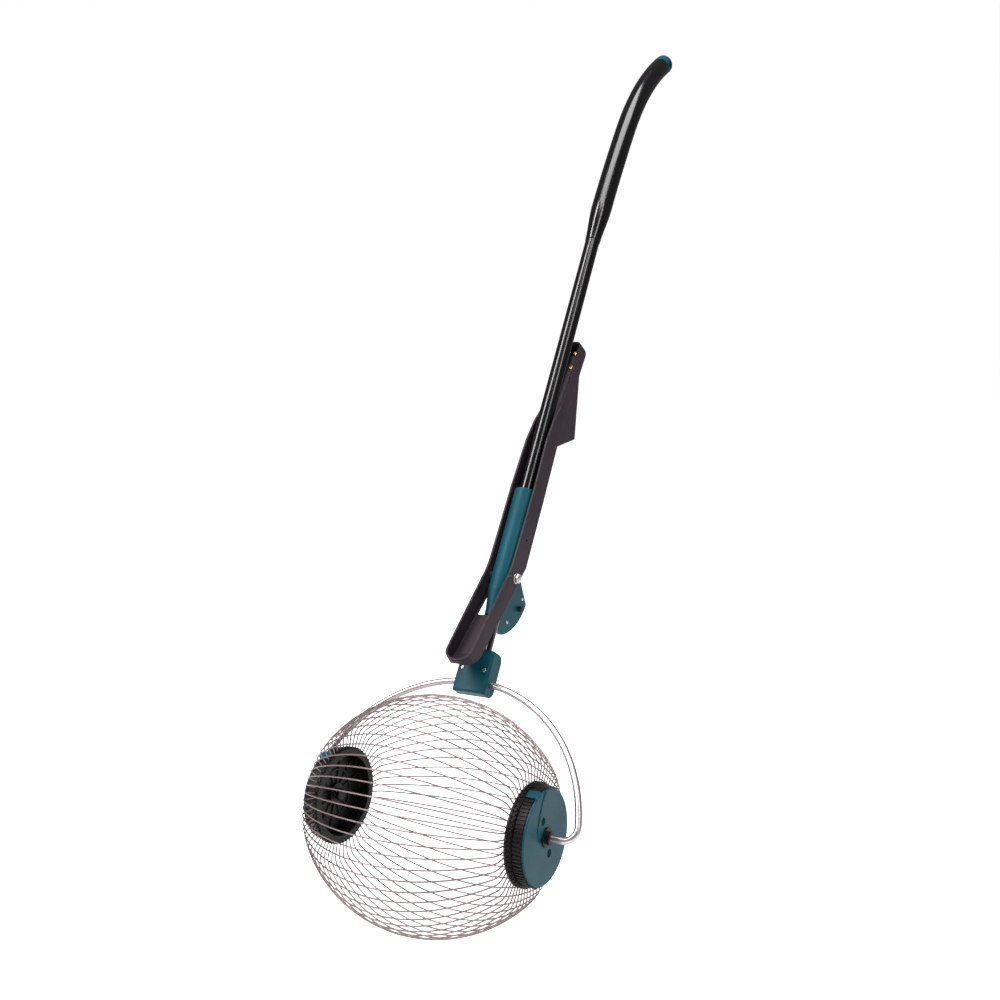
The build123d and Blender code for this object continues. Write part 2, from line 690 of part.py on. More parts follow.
# ---------------------------------------------------------------- pivot bolt

WASHER = 1.4
WASHER_R = 8.4
HEX_R = 7.5             # corner radius of the bolt's head and of the nut
HEAD_THICK = 5.3
NUT_THICK = 6.0
THREAD_STAND = 1.5      # thread that shows past the nut
washer_x = ARM_HALF + CLEAR

with BuildPart() as pivot_bolt:
    with BuildSketch(across(-washer_x - WASHER - HEAD_THICK)):
        with Locations((PIVOT, 0)):
            RegularPolygon(HEX_R, 6)
    extrude(amount=-HEAD_THICK)
    with BuildSketch(across(-washer_x - WASHER - 0.2)):
        with Locations((PIVOT, 0)):
            Circle(PIVOT_R)
    extrude(amount=-2 * washer_x - 2 * WASHER - 0.2 - NUT_THICK - THREAD_STAND)
    chamfer(pivot_bolt.faces().sort_by(Axis.X)[-1].edges(), 0.7)
save(pivot_bolt, "pivot_bolt")

with BuildPart() as pivot_nut:
    with BuildSketch(across(washer_x + WASHER)):
        with Locations((PIVOT, 0)):
            RegularPolygon(HEX_R, 6)
            Circle(PIVOT_R + 0.02, mode=Mode.SUBTRACT)
    extrude(amount=-NUT_THICK)
save(pivot_nut, "pivot_nut")

with BuildPart() as pivot_washers:
    for start in (-washer_x - WASHER, washer_x):
        with BuildSketch(across(start)):
            with Locations((PIVOT, 0)):
                Circle(WASHER_R)
                Circle(PIVOT_R + 0.05, mode=Mode.SUBTRACT)
        extrude(amount=-WASHER)
save(pivot_washers, "pivot_washers")


# ---------------------------------------------------------------- swing arm

lean = radians(ARM_TILT)
RIM_KNEE = (343.0, -16.6)
RIM_LENGTH = 161.0
BOWL_DEPTH = 14.0
rim_end = (RIM_KNEE[0] - RIM_LENGTH * cos(lean), RIM_KNEE[1] - RIM_LENGTH * sin(lean))
bowl_end = (rim_end[0] - BOWL_DEPTH * sin(lean), rim_end[1] + BOWL_DEPTH * cos(lean))
BOWL_FLOOR = (206.0, -37.0)
FLOOR_BEND = (551.0, 24.5)
TIP_BACK = (ARM_TIP - 2, 44.0)
RIM_POINTS = [(400, -14), (546, -9), (582, -2), (604, 6), (643, 14.5), (717, 22), (ARM_TIP, 27)]
BOWL_CORNER = ARM_HALF - 1.5    # the bowl's end, round in plan
BOWL_TOE = 12.0                 # the bowl's floor turns up to its end
TAPER_START = 470.0             # above this the arm narrows to its tip
TIP_HALF = 12.5
TIP_CORNER = 11.0
OPEN_SIDE = -60.0               # beyond the channel's open side
FAR = 250.0                     # past the arm in any direction
SLOT_HALF = 16.6                # the handle passes through this slot
SLOT_FOOT = 272.0
SLOT_TOP = 353.0
SECTOR_SLOT_TOP = 420.0
HEEL_SCREW = 721.0
HEEL_SCREW_PITCH = 27.0
HEEL_SCREW_R = 1.5
HEEL_THREAD = 2.0               # how far the screws reach into the heel
PIN_HOLE = (393.0, 3.0)
floor_line = [bowl_end, BOWL_FLOOR, (358, ARM_BACK), (TAPER_START, ARM_BACK), FLOOR_BEND, TIP_BACK]
tip_lean = atan2(TIP_BACK[1] - FLOOR_BEND[1], TIP_BACK[0] - FLOOR_BEND[0])
seat_behind = FLOOR_BEND[1] + (HEEL_SCREW - FLOOR_BEND[0]) * tan(tip_lean)
heel_seat = Plane(origin=side.from_local_coords(Vector(HEEL_SCREW, seat_behind)), x_dir=(1, 0, 0),
                  z_dir=BEHIND * cos(tip_lean) - ALONG * sin(tip_lean))
handle_plan = Plane(origin=FOOT, x_dir=(1, 0, 0), z_dir=-BEHIND)
rim_plane = Plane(origin=side.from_local_coords(Vector(*rim_end)), x_dir=(1, 0, 0),
                  z_dir=BEHIND * cos(lean) - ALONG * sin(lean))


def raised(points, amount):
    """Chain of points moved square to itself, towards the channel's open side."""
    headings = [atan2(b[1] - a[1], b[0] - a[0]) for a, b in zip(points, points[1:])]
    turned = [(a + b) / 2 for a, b in zip(headings[:1] + headings, headings + headings[-1:])]
    return [(p[0] + amount * sin(h), p[1] - amount * cos(h)) for p, h in zip(points, turned)]


def in_plan(inset):
    """Keeps what lies inside the arm's plan: its width, round bowl end and tapered tip, less an inset."""
    half = ARM_HALF - inset
    with BuildSketch(rim_plane) as bowl_plan:
        with Locations((0, -inset)):
            Rectangle(2 * half, 3 * FAR, align=(Align.CENTER, Align.MAX))
        fillet(bowl_plan.vertices().group_by(Axis.Y)[-1], BOWL_CORNER - inset)
    extrude(bowl_plan.sketch, amount=FAR, both=True, mode=Mode.INTERSECT)
    with BuildSketch(handle_plan) as tip_plan:
        with BuildLine():
            Polyline((-half, -FAR), (-half, TAPER_START), (inset - TIP_HALF, ARM_TIP - inset),
                     (TIP_HALF - inset, ARM_TIP - inset), (half, TAPER_START), (half, -FAR), close=True)
        make_face()
        fillet(tip_plan.vertices().group_by(Axis.Y)[-1], TIP_CORNER - inset)
    extrude(tip_plan.sketch, amount=FAR, both=True, mode=Mode.INTERSECT)


with BuildPart() as arm_hollow:
    inner_line = raised(floor_line, ARM_FLOOR)
    with BuildSketch(side) as hollow_side:
        with BuildLine():
            Polyline((ARM_TIP, OPEN_SIDE), (ARM_TIP, inner_line[-1][1] + 0.2), *reversed(inner_line),
                     (rim_end[0] + OPEN_SIDE * sin(lean), rim_end[1] + OPEN_SIDE), close=True)
        make_face()
        fillet(hollow_side.vertices().sort_by_distance(inner_line[0])[0], BOWL_TOE)
    extrude(amount=ARM_HALF, both=True)
    in_plan(ARM_WALL)

with BuildPart() as arm_channel:
    with BuildSketch(side) as channel_side:
        with BuildLine():
            Polyline(RIM_KNEE, *RIM_POINTS, *reversed(floor_line), rim_end, close=True)
        make_face()
        fillet(channel_side.vertices().sort_by_distance(bowl_end)[0], BOWL_TOE + ARM_FLOOR)
        fillet(channel_side.vertices().sort_by_distance(RIM_KNEE)[0], 90)
    extrude(amount=ARM_HALF, both=True)
    in_plan(0)
    add(arm_hollow.part, mode=Mode.SUBTRACT)
    with BuildSketch(across(0)):
        with Locations((PIVOT, 0)):
            Circle(PIVOT_R + 0.05)
        with Locations(PIN_HOLE):
            Circle(2)
    extrude(amount=ARM_HALF + 1, both=True, mode=Mode.SUBTRACT)
    with BuildSketch(Plane(origin=handle.from_local_coords(Vector(0, -40, SLOT_FOOT)),
                           x_dir=(1, 0, 0), z_dir=BEHIND)):
        with Locations((0, -(SLOT_TOP - SLOT_FOOT) / 2)):
            Rectangle(2 * SLOT_HALF, SLOT_TOP - SLOT_FOOT)
        with Locations((0, -(SECTOR_SLOT_TOP - SLOT_FOOT) / 2)):
            Rectangle(2 * SECTOR_HALF + 3, SECTOR_SLOT_TOP - SLOT_FOOT)
    extrude(amount=70, mode=Mode.SUBTRACT)
    with BuildSketch(heel_seat):
        with Locations((0, 0), (0, -HEEL_SCREW_PITCH)):
            Circle(HEEL_SCREW_R)
    extrude(amount=-ARM_FLOOR - 1, mode=Mode.SUBTRACT)
save(arm_channel, "arm_channel")

with BuildPart() as heel_hollow:
    with BuildSketch(side):
        with BuildLine():
            Polyline((564, 30), (592, 65.5), (570, 110), (700, 110), (668, 47), (668, 40.5), (600, 33),
                     close=True)
        make_face()
    extrude(amount=ARM_HALF, both=True)
    in_plan(ARM_WALL)

with BuildPart() as arm_heel:
    with BuildSketch(side):
        with BuildLine():
            Polyline((553, FLOOR_BEND[1] + 0.3), (590, 72), (682, 42), (705, 45), (722, 47.5),
                     (TIP_BACK[0], TIP_BACK[1] + CLEAR), close=True)
        make_face()
    extrude(amount=ARM_HALF, both=True)
    in_plan(0)
    add(heel_hollow.part, mode=Mode.SUBTRACT)
    with BuildSketch(heel_seat):
        with Locations((0, 0), (0, -HEEL_SCREW_PITCH)):
            Circle(HEEL_SCREW_R)
    extrude(amount=HEEL_THREAD + CLEAR, mode=Mode.SUBTRACT)
save(arm_heel, "arm_heel")

with BuildPart() as heel_screws:
    with BuildSketch(heel_seat.offset(-ARM_FLOOR - 0.05)):
        with Locations((0, 0), (0, -HEEL_SCREW_PITCH)):
            Circle(4.2)
    extrude(amount=-2.4, taper=25)
    with BuildSketch(heel_seat.offset(-ARM_FLOOR - 0.05)):
        with Locations((0, 0), (0, -HEEL_SCREW_PITCH)):
            Circle(HEEL_SCREW_R - 0.02)
    extrude(amount=ARM_FLOOR + HEEL_THREAD)
    with BuildSketch(heel_seat.offset(-ARM_FLOOR - 2.4)):
        with Locations((0, 0), (0, -HEEL_SCREW_PITCH)):
            RegularPolygon(1.6, 6)
    extrude(amount=1.3, mode=Mode.SUBTRACT)
save(heel_screws, "heel_screws")
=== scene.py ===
import json
from math import cos, pi, radians, sin

import bmesh
import bpy
from mathutils import Matrix, Vector


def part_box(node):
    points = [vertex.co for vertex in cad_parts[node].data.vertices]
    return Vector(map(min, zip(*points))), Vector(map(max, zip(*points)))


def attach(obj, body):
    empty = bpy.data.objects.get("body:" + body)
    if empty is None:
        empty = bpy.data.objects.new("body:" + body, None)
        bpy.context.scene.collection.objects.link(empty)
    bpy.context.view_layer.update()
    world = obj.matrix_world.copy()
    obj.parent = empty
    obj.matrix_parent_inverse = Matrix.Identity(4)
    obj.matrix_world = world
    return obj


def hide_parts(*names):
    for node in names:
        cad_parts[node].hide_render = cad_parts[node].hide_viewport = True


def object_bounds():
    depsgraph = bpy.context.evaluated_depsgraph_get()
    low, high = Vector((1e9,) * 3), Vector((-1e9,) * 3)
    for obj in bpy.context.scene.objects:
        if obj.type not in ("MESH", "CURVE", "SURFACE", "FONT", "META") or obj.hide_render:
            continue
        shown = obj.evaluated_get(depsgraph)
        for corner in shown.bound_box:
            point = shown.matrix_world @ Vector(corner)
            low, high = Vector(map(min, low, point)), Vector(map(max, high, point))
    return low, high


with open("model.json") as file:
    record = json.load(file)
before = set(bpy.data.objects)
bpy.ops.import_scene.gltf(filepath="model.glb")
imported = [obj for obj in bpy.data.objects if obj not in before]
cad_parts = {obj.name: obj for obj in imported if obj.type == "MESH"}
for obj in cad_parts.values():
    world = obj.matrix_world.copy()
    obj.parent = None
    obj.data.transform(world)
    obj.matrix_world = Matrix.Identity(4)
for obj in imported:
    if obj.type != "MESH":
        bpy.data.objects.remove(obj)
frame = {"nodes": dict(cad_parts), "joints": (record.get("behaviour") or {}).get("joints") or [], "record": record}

# Looks of a rolling fruit gatherer: a wire cage on a bail, a long handle and a swing arm.
# Metres, in the row's frame: X is the cage's axis, +Y is the user's side, Z is up.

cad_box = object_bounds()

NODES = frame["nodes"]
BODY_OF = {node: body for body, members in frame["record"]["behaviour"]["bodies"].items()
           for node in members}


# ------------------------------------------------------------------ places and directions

joint = {j["name"]: j for j in frame["joints"]}
AXLE = Vector(joint["cage_roll"]["pos_m"])

# The handle's slope from the floor is the CAD's own value. No joint or box gives it.
HANDLE_TILT = radians(59.8)
ALONG = Vector((0, cos(HANDLE_TILT), sin(HANDLE_TILT)))
BEHIND = Vector((0, sin(HANDLE_TILT), -cos(HANDLE_TILT)))
ACROSS = Vector((1, 0, 0))


# ------------------------------------------------------------------ materials

class Shader:
    """A principled material and short calls that add nodes to it."""

    def __init__(self, name, base, roughness, metallic=0.0):
        self.material = bpy.data.materials.new(name)
        self.material.use_nodes = True
        self.tree = self.material.node_tree
        self.shader = self.tree.nodes["Principled BSDF"]
        self.set("Metallic", metallic)
        self.set("Roughness", roughness)
        self.set("Base Color", (*base, 1))
        self.place = self.tree.nodes.new("ShaderNodeTexCoord").outputs["Object"]

    def set(self, socket, value):
        self.shader.inputs[socket].default_value = value

    def link(self, output, socket):
        self.tree.links.new(output, socket)

    def node(self, kind, **settings):
        made = self.tree.nodes.new(kind)
        for key, value in settings.items():
            setattr(made, key, value)
        return made

    def stretched(self, scale):
        made = self.node("ShaderNodeMapping")
        made.inputs["Scale"].default_value = scale
        self.link(self.place, made.inputs["Vector"])
        return made.outputs["Vector"]

    def noise(self, scale, detail=4.0, roughness=0.55, vector=None):
        made = self.node("ShaderNodeTexNoise")
        made.inputs["Scale"].default_value = scale
        made.inputs["Detail"].default_value = detail
        made.inputs["Roughness"].default_value = roughness
        self.link(vector or self.place, made.inputs["Vector"])
        return made.outputs["Fac"]

    def spread(self, value, low, high, to_low=0.0, to_high=1.0):
        """Maps low and high onto to_low and to_high, and holds the result between them."""
        made = self.node("ShaderNodeMapRange")
        limits = {"From Min": low, "From Max": high, "To Min": to_low, "To Max": to_high}
        for socket, number in limits.items():
            made.inputs[socket].default_value = number
        self.link(value, made.inputs["Value"])
        return made.outputs["Result"]

    def maths(self, operation, a, b):
        made = self.node("ShaderNodeMath", operation=operation)
        for index, value in enumerate((a, b)):
            if isinstance(value, (int, float)):
                made.inputs[index].default_value = value
            else:
                self.link(value, made.inputs[index])
        return made.outputs[0]

    def mix(self, factor, a, b):
        made = self.node("ShaderNodeMix", data_type="RGBA")
        self.link(factor, made.inputs[0])
        for index, value in ((6, a), (7, b)):
            if isinstance(value, tuple):
                made.inputs[index].default_value = (*value, 1)
            else:
                self.link(value, made.inputs[index])
        return made.outputs[2]

    def bump(self, height, distance, strength=1.0, below=None):
        made = self.node("ShaderNodeBump")
        made.inputs["Distance"].default_value = distance
        made.inputs["Strength"].default_value = strength
        self.link(height, made.inputs["Height"])
        if below is not None:
            self.link(below, made.inputs["Normal"])
        return made.outputs["Normal"]

    def colour(self, output):
        self.link(output, self.shader.inputs["Base Color"])

    def rough(self, output):
        self.link(output, self.shader.inputs["Roughness"])

    def normal(self, output):
        self.link(output, self.shader.inputs["Normal"])

    def rounded(self, radius):
        """Surface normal with its sharp edges eased over a radius."""
        made = self.node("ShaderNodeBevel", samples=4)
        made.inputs["Radius"].default_value = radius
        return made.outputs["Normal"]

    def edges(self, radius, low=0.9, high=0.995):
        """One along sharp edges, zero on the faces between them."""
        turned = self.node("ShaderNodeVectorMath", operation="DOT_PRODUCT")
        self.link(self.rounded(radius), turned.inputs[0])
        self.link(self.node("ShaderNodeNewGeometry").outputs["Normal"], turned.inputs[1])
        return self.spread(turned.outputs["Value"], low, high, 1.0, 0.0)


def moulded_plastic(name, dark, light, worn, roughness, grain, edge, specular=0.42):
    """Moulded plastic: fine spark-eroded grain, soft edges, light scuffs and rubbed corners."""
    m = Shader(name, light, roughness)
    cloud = m.spread(m.noise(9, 3, 0.5), 0.35, 0.65)
    body = m.mix(cloud, dark, light)
    scuff = m.spread(m.noise(300, 2, 0.7, m.stretched((0.2, 1, 0.1))), 0.7, 0.8, 0.0, 0.22)
    body = m.mix(scuff, body, worn)
    patchy = m.spread(m.noise(140, 3), 0.4, 0.62, 0.12, 0.75)
    m.colour(m.mix(m.maths("MULTIPLY", m.edges(edge * 1.6), patchy), body, worn))
    smear = m.spread(m.noise(22, 5, 0.6), 0.3, 0.7, roughness * 0.9, roughness * 1.12)
    m.rough(m.maths("ADD", smear, m.maths("MULTIPLY", scuff, 0.3)))
    m.normal(m.bump(m.noise(3200, 2, 0.6), grain, 0.45, m.rounded(edge)))
    m.set("Specular IOR Level", specular)
    return m.material


def gloss_coat(name, base, peel_scale, roughness):
    """Gloss black coat on a tube: orange peel, dust and long fine scratches."""
    m = Shader(name, base, roughness)
    dust = m.spread(m.noise(210, 5, 0.75), 0.62, 0.82, 0.0, 0.1)
    m.colour(m.mix(dust, base, tuple(0.04 + c for c in base)))
    scratch = m.spread(m.noise(900, 1, 0.5, m.stretched((1.0, 0.035, 0.035))), 0.66, 0.72)
    rub = m.spread(m.noise(24, 5, 0.6), 0.35, 0.7, roughness * 0.85, roughness * 1.3)
    m.rough(m.maths("ADD", rub, m.maths("MULTIPLY", scratch, 0.12)))
    m.normal(m.bump(m.noise(peel_scale, 2, 0.5), 0.00004, 0.35, m.rounded(0.0005)))
    m.set("Specular IOR Level", 0.6)
    return m.material


def drawn_metal(name, base, shade, roughness, line_scale, tarnish, edge=0.0003):
    """Drawn or turned metal: fine lines, faint tarnish and handling marks."""
    m = Shader(name, base, roughness, 1.0)
    lines = m.noise(line_scale, 2, 0.6, m.stretched((0.06, 1, 1)))
    patch = m.spread(m.noise(46, 6, 0.7), 0.42, 0.75, 0.0, tarnish)
    fine = m.mix(m.spread(lines, 0.35, 0.65), base, tuple(c * 0.86 for c in base))
    m.colour(m.mix(patch, fine, shade))
    m.rough(m.maths("ADD", m.spread(lines, 0.3, 0.7, roughness * 0.8, roughness * 1.25),
                    m.maths("MULTIPLY", patch, 0.3)))
    m.normal(m.bump(lines, 0.00003, 0.5, m.rounded(edge)))
    return m.material


def soft_rubber(name):
    """Dull black rubber with a fine tooth."""
    m = Shader(name, (0.012, 0.011, 0.012), 0.7)
    m.colour(m.mix(m.spread(m.noise(220, 4), 0.4, 0.7), (0.008, 0.008, 0.008), (0.024, 0.022, 0.022)))
    m.normal(m.bump(m.noise(1800, 2), 0.00008, 0.6, m.rounded(0.0006)))
    return m.material


TEAL = moulded_plastic("teal_moulded", (0.001, 0.062, 0.084), (0.002, 0.078, 0.106), (0.02, 0.16, 0.19),
                       0.42, 0.00002, 0.0012, specular=0.2)
BLACK_MATT = moulded_plastic("black_moulded", (0.024, 0.015, 0.021), (0.033, 0.021, 0.029),
                             (0.11, 0.085, 0.098), 0.5, 0.00005, 0.0010, specular=0.25)
# Darker copy of the black plastic for the hub parts: their own black plus painted shade for the dark inside of the
# hubs.
HUB_BLACK_PAINTED_SHADE = moulded_plastic("black_hub_moulded_painted_shade", (0.006, 0.0035, 0.0045), (0.009, 0.0055, 0.007),
                            (0.035, 0.026, 0.029), 0.42, 0.00004, 0.0005, specular=0.22)
BLACK_COAT = gloss_coat("black_powder_coat", (0.0025, 0.002, 0.0025), 900, 0.17)
GRIP_VINYL = gloss_coat("black_vinyl_grip", (0.0025, 0.002, 0.0025), 420, 0.15)
ROD = drawn_metal("bail_rod_metal", (0.66, 0.61, 0.62), (0.46, 0.40, 0.41), 0.34, 900, 0.3)
WIRE = drawn_metal("spring_wire", (0.36, 0.29, 0.29), (0.15, 0.10, 0.10), 0.42, 1500, 0.6)
ZINC = drawn_metal("zinc_plated", (0.80, 0.72, 0.71), (0.42, 0.37, 0.34), 0.27, 1600, 0.4)
BRASS = drawn_metal("brass_screw_metal", (0.85, 0.60, 0.27), (0.45, 0.27, 0.10), 0.24, 1600, 0.4)
BLACK_OXIDE = drawn_metal("black_oxide", (0.015, 0.013, 0.014), (0.006, 0.005, 0.006), 0.5, 1400, 0.5)
RUBBER = soft_rubber("stop_rubber")

SLOT_MATERIAL = {
    "teal_plastic": TEAL,
    "black_plastic": BLACK_MATT,
    "black_tube": BLACK_COAT,
    "black_grip": GRIP_VINYL,
    "bail_aluminium": ROD,
    "wire_steel": WIRE,
    "bright_steel": ZINC,
    "brass_screw": BRASS,
    "black_screw": BLACK_OXIDE,
    "black_rubber": RUBBER,
}
# Hub parts that take the darker black with painted shade instead of their slot's material.
HUB_NODES = ("hub_left", "hub_right", "wire_ring_left", "wire_ring_right",
             "bush_left", "bush_right", "rod_caps")
SLOT_OF = {part["node"]: part["material_slot"] for part in frame["record"]["subparts"]}

for node, obj in NODES.items():
    obj.data.materials.clear()
    obj.data.materials.append(HUB_BLACK_PAINTED_SHADE if node in HUB_NODES else SLOT_MATERIAL[SLOT_OF[node]])


# ------------------------------------------------------------------ fasteners

SHARP_ANGLE = radians(32)
CROSS_DEPTH, CROSS_POWER = 0.62, 0.35

NUT_THICK, HEAD_THICK = 0.0048, 0.0053
NUT_SPIN, HEAD_SPIN = radians(12), radians(20)
CORNER_SHARE = 0.97
TIP_PAST_NUT, THREAD_LENGTH = 0.0012, 0.005
SHANK_R, SHANK_EASE = 0.004, 0.0005
SHANK_START, SHANK_SHORT_OF_TIP = 0.005, 0.004
WASHER_R, WASHER_BORE_R, WASHER_THICK = 0.0074, 0.0042, 0.0011
WASHER_OUT_RIGHT, WASHER_OUT_LEFT = 0.0012, 0.0014
EASE = 0.0002

# Kind of recess, then the radius of the head and of the recess, the head's rise and the shank's radius.
BLOCK_SCREW = ("cross", 0.0031, 0.0018, 0.0012, 0.0016)
PLATE_SCREW = ("cross", 0.0026, 0.0016, 0.0011, 0.0014)
HEEL_SCREW = ("hex", 0.0042, 0.0021, 0.0019, 0.0015)
CAP_SCREW = ("cross", 0.0046, 0.0024, 0.0014, 0.0018)
BLOCK_SCREW_SINK = 0.0008

def split_points(node, *ways):
    """A node's points, halved along each way in turn: one group for each of its like solids."""
    groups = [[v.co.copy() for v in NODES[node].data.vertices]]
    for way in ways:
        halved = []
        for group in groups:
            reach = [p.dot(way) for p in group]
            middle = (min(reach) + max(reach)) / 2
            halved.append([p for p, r in zip(group, reach) if r < middle])
            halved.append([p for p, r in zip(group, reach) if r >= middle])
        groups = halved
    return groups


def seat(points, out, spin=0.0):
    """Frame at the outer end of a round solid: Z points out, the origin is on its axis."""
    out = out.normalized()
    first = ALONG if abs(out.dot(ALONG)) < 0.9 else ACROSS
    first = (first - out * first.dot(out)).normalized()
    second = out.cross(first)
    middle = Vector((0, 0, 0))
    for way in (first, second):
        reach = [p.dot(way) for p in points]
        middle += way * (min(reach) + max(reach)) / 2
    middle += out * max(p.dot(out) for p in points)
    turn = Matrix.Rotation(spin, 4, "Z")
    return Matrix.Translation(middle) @ Matrix((first, second, out)).transposed().to_4x4() @ turn


def outline(kind, radius, angle):
    """Distance from the axis at an angle, for a ring of one kind."""
    if kind == "hex":
        return radius * cos(pi / 6) / cos((angle + pi / 6) % (pi / 3) - pi / 6)
    if kind == "cross":
        arm = abs(sin(2 * angle))
        return radius * (1 - CROSS_DEPTH * arm**CROSS_POWER)
    return radius


def turned(shape, place, rings, segments=72):
    """Adds one closed turned body. A ring is (kind, radius, height), from the top's middle outward."""
    rows = []
    for kind, radius, height in rings:
        row = []
        for step in range(segments):
            angle = 2 * pi * step / segments
            reach = outline(kind, radius, angle)
            row.append(shape.verts.new(place @ Vector((reach * cos(angle), reach * sin(angle), height))))
        rows.append(row)
    for inner, outer in zip(rows, rows[1:]):
        for i in range(segments):
            j = (i + 1) % segments
            shape.faces.new((inner[i], outer[i], outer[j], inner[j]))
    shape.faces.new(rows[0])
    shape.faces.new(list(reversed(rows[-1])))


def hex_rings(corner, thick, chamfer=0.0008):
    """Rings of a hexagon body with both its faces chamfered round."""
    flat = corner * cos(pi / 6)
    return [("round", flat * 0.55, 0.0), ("round", flat * 0.94, 0.0), ("hex", corner * 0.985, -chamfer),
            ("hex", corner, -chamfer * 1.3), ("hex", corner, chamfer * 1.3 - thick),
            ("hex", corner * 0.985, chamfer - thick), ("round", flat * 0.94, -thick)]


def thread_rings(radius, length, pitch=0.00125, depth=0.0005):
    """Rings of a threaded end, with a chamfered tip."""
    rings = [("round", radius * 0.6, 0.0), ("round", radius * 0.78, 0.0)]
    height = -0.0005
    while height > -length:
        rings += [("round", radius, height), ("round", radius, height - pitch * 0.2),
                  ("round", radius - depth, height - pitch * 0.6)]
        height -= pitch
    return rings + [("round", radius, -length)]


def socket_rings(kind, head, recess, rise, shank):
    """Rings of a domed screw head with a hexagon or cross recess, and a stub of its shank."""
    slopes = (1.15, 0.95, 0.75, 0.55, 0.35, 0.15, 0.0)
    dome = [("round", head * cos(a), rise * (sin(a) - 1)) for a in slopes]
    deep = -rise * 0.1 - recess * 0.8
    return [(kind, recess * 0.8, deep), (kind, recess * 0.97, deep * 0.55), (kind, recess, -rise * 0.06),
            *dome, ("round", head, -rise * 1.25), ("round", head * 0.96, -rise * 1.35),
            ("round", shank, -rise * 1.35), ("round", shank, -rise * 1.35 - 0.002)]


def finish_piece(name, shape, node, material):
    """Makes an object of a shape, to stand for one CAD node."""
    bmesh.ops.recalc_face_normals(shape, faces=shape.faces)
    mesh = bpy.data.meshes.new(name)
    shape.to_mesh(mesh)
    shape.free()
    mesh.shade_smooth()
    mesh.set_sharp_from_angle(angle=SHARP_ANGLE)
    mesh.materials.append(material)
    obj = bpy.data.objects.new(name, mesh)
    bpy.context.scene.collection.objects.link(obj)
    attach(obj, BODY_OF[node])
    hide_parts(node)


def build_pivot():
    """Nut, bolt and washers of the arm's pivot. The washers are nearly as wide as the nut."""
    right, left = ACROSS, -ACROSS
    nut_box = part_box("pivot_nut")
    arm_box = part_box("arm_channel")
    corner = (nut_box[1].z - nut_box[0].z) / 2 / cos(pi / 6) * CORNER_SHARE

    nut = bmesh.new()
    place = seat(split_points("pivot_nut")[0], right, NUT_SPIN)
    place.translation.x = arm_box[1].x + WASHER_THICK + NUT_THICK
    turned(nut, place, hex_rings(corner, NUT_THICK))
    finish_piece("nut_with_chamfers", nut, "pivot_nut", ZINC)

    bolt = bmesh.new()
    tip = place.copy()
    tip.translation.x += TIP_PAST_NUT
    turned(bolt, tip, thread_rings(SHANK_R, THREAD_LENGTH), 48)
    head = seat(split_points("pivot_bolt")[0], left, HEAD_SPIN)
    turned(bolt, head, hex_rings(corner, HEAD_THICK))
    shank = head.copy()
    shank.translation.x += SHANK_START
    shank_end = head.translation.x + SHANK_START - tip.translation.x + SHANK_SHORT_OF_TIP
    turned(bolt, shank, [("round", SHANK_R - SHANK_EASE, 0.0), ("round", SHANK_R, -EASE),
                         ("round", SHANK_R, shank_end)], 48)
    finish_piece("bolt_with_thread", bolt, "pivot_bolt", ZINC)

    washers = bmesh.new()
    rings = [("round", WASHER_BORE_R, 0.0), ("round", WASHER_R - EASE, 0.0), ("round", WASHER_R, -EASE),
             ("round", WASHER_R, EASE - WASHER_THICK), ("round", WASHER_R - EASE, -WASHER_THICK)]
    outer_faces = (arm_box[0].x - WASHER_OUT_LEFT, arm_box[1].x + WASHER_OUT_RIGHT)
    for group, out, outer_face in zip(split_points("pivot_washers", ACROSS), (left, right), outer_faces):
        spot = seat(group, out)
        spot.translation.x = outer_face
        turned(washers, spot, rings)
    finish_piece("turned_washers", washers, "pivot_washers", ZINC)


def screw_piece(name, node, material, places, sizes):
    """One piece of like screws, a screw at each place."""
    shape = bmesh.new()
    for place in places:
        turned(shape, place, socket_rings(*sizes))
    finish_piece(name, shape, node, material)


def build_screws():
    """Screws with domed heads and real recesses. The cross recesses are each turned differently."""
    sink = Matrix.Translation((0, 0, -BLOCK_SCREW_SINK))
    block = [seat(group, -BEHIND, 0.4 + index) @ sink
             for index, group in enumerate(split_points("coupling_screws", ACROSS))]
    screw_piece("block_screws", "coupling_screws", ZINC, block, BLOCK_SCREW)

    plate = [seat(group, ACROSS, 0.7 + index)
             for index, group in enumerate(split_points("sector_screws", ALONG))]
    screw_piece("plate_screws", "sector_screws", ZINC, plate, PLATE_SCREW)

    # The CAD's far heel screw stands past the arm's tip, which is a fault there. So the second head
    # is set one pitch on the other side of the near screw, where the photo has it.
    near, far = (seat(group, -BEHIND) for group in split_points("heel_screws", ALONG))
    pitch = far.translation - near.translation
    heel = [Matrix.Translation(-pitch * count) @ near for count in (0, 1)]
    screw_piece("heel_socket_screws", "heel_screws", BRASS, heel, HEEL_SCREW)

    caps = [seat(group, ACROSS if group[0].x > 0 else -ACROSS, 0.3 * index)
            for index, group in enumerate(split_points("cap_screws", ACROSS, Vector((0, 0, 1))))]
    screw_piece("cap_pan_screws", "cap_screws", BLACK_OXIDE, caps, CAP_SCREW)


build_pivot()
build_screws()


# ------------------------------------------------------------------ camera, light and floor

CAMERA_AZIMUTH, CAMERA_ELEVATION = radians(29.46), radians(5.43)
CAMERA_LENS, CAMERA_SENSOR = 42.2, 36
CAMERA_BACK, CAMERA_RIGHT, CAMERA_UP = 1.4991, 0.08586, 0.40118

SURROUND = (0.13, 0.125, 0.13)
LIT_POINT = (0, 0.3, 0.6)
FLOOR_HALF, FLOOR_GAP = 60, 0.0005
FLOOR_GLOW, FLOOR_GLOW_SEEN = 0.25, 0.95


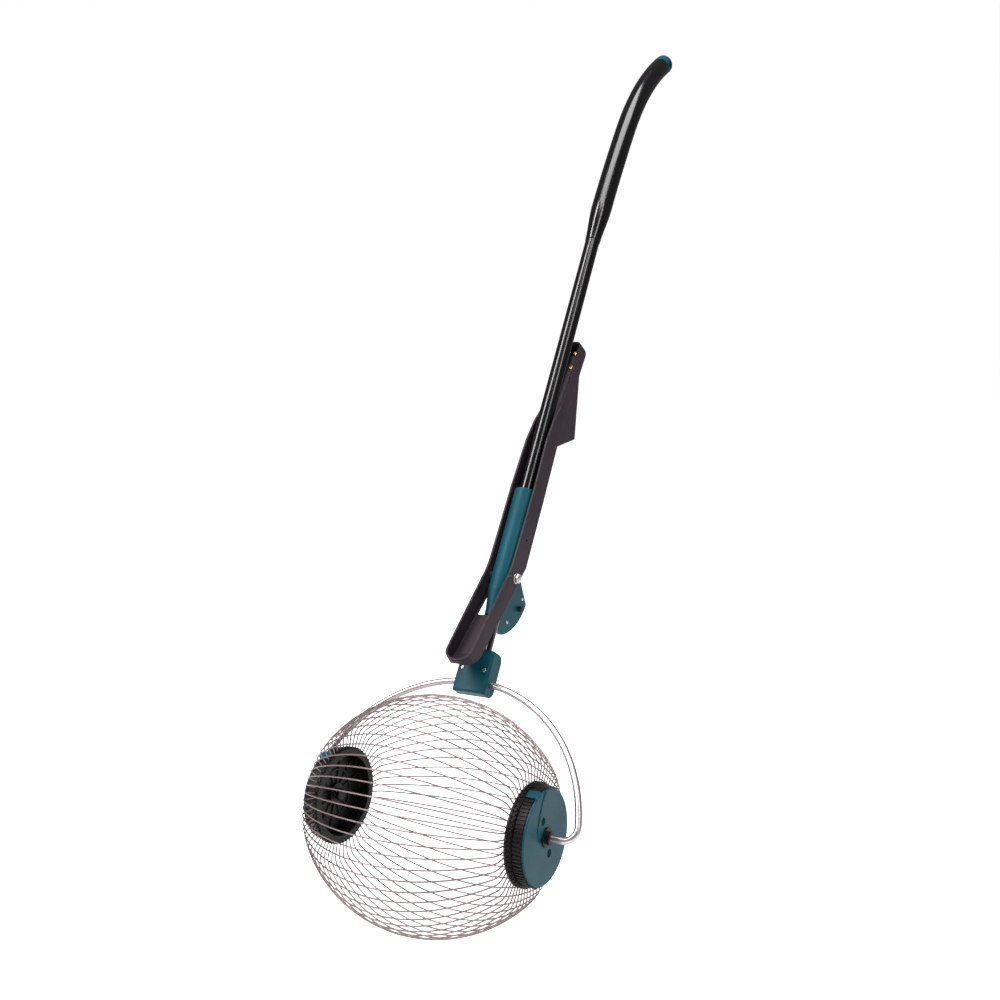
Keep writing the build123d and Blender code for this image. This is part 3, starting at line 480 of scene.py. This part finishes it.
def add_camera():
    """The photograph's view, placed from the cage's axle."""
    level = cos(CAMERA_ELEVATION)
    back = Vector((sin(CAMERA_AZIMUTH) * level, -cos(CAMERA_AZIMUTH) * level, sin(CAMERA_ELEVATION)))
    right = Vector((cos(CAMERA_AZIMUTH), sin(CAMERA_AZIMUTH), 0))
    up = back.cross(right)
    data = bpy.data.cameras.new("photo_view")
    data.sensor_width = CAMERA_SENSOR
    data.lens = CAMERA_LENS
    data.clip_end = 50
    camera = bpy.data.objects.new("photo_view", data)
    spot = AXLE + back * CAMERA_BACK + right * CAMERA_RIGHT + up * CAMERA_UP
    camera.matrix_world = Matrix.Translation(spot) @ Matrix((right, up, back)).transposed().to_4x4()
    bpy.context.scene.collection.objects.link(camera)
    bpy.context.scene.camera = camera


def add_area(name, place, width, height, power, colour=(1, 1, 1)):
    """A rectangular light aimed at the middle of the object."""
    data = bpy.data.lights.new(name, "AREA")
    data.shape = "RECTANGLE"
    data.size, data.size_y = width, height
    data.energy = power
    data.color = colour
    light = bpy.data.objects.new(name, data)
    light.location = place
    light.rotation_euler = (Vector(LIT_POINT) - Vector(place)).to_track_quat("-Z", "Y").to_euler()
    bpy.context.scene.collection.objects.link(light)


def add_stage():
    """Plain pale floor in a studio that the camera sees as white and the object as dim."""
    mesh = bpy.data.meshes.new("floor")
    grid = bmesh.new()
    bmesh.ops.create_grid(grid, x_segments=1, y_segments=1, size=FLOOR_HALF)
    grid.to_mesh(mesh)
    grid.free()
    floor = bpy.data.objects.new("floor", mesh)
    floor.location.z = cad_box[0][2] - FLOOR_GAP
    bpy.context.scene.collection.objects.link(floor)
    m = Shader("pale_floor", (0.9, 0.9, 0.9), 0.9)
    m.colour(m.mix(m.spread(m.noise(3, 3), 0.3, 0.7), (0.90, 0.90, 0.90), (0.92, 0.92, 0.92)))
    m.set("Specular IOR Level", 0.0)
    m.set("Emission Color", (1, 1, 1, 1))
    direct = m.node("ShaderNodeLightPath").outputs["Is Camera Ray"]
    m.link(m.spread(direct, 0, 1, FLOOR_GLOW, FLOOR_GLOW_SEEN), m.shader.inputs["Emission Strength"])
    mesh.materials.append(m.material)
    world = bpy.data.worlds.new("studio")
    world.use_nodes = True
    nodes, links = world.node_tree.nodes, world.node_tree.links
    surround = nodes["Background"]
    surround.inputs["Color"].default_value = (*SURROUND, 1)
    surround.inputs["Strength"].default_value = 1.0
    backdrop = nodes.new("ShaderNodeBackground")
    backdrop.inputs["Color"].default_value = (1, 1, 1, 1)
    backdrop.inputs["Strength"].default_value = 1.0
    seen = nodes.new("ShaderNodeLightPath")
    choice = nodes.new("ShaderNodeMixShader")
    links.new(seen.outputs["Is Camera Ray"], choice.inputs["Fac"])
    links.new(surround.outputs["Background"], choice.inputs[1])
    links.new(backdrop.outputs["Background"], choice.inputs[2])
    links.new(choice.outputs["Shader"], nodes["World Output"].inputs["Surface"])
    bpy.context.scene.world = world
    bpy.context.scene.view_settings.view_transform = "Standard"


add_camera()
add_stage()
add_area("key_left", (-1.6, -1.75, 3.0), width=0.7, height=3.4, power=125, colour=(1, 0.96, 0.98))
add_area("strip_right", (2.3, -0.7, 2.7), width=0.4, height=3.0, power=34)
add_area("top_soft", (0.3, 0.2, 3.4), width=1.6, height=1.6, power=60)
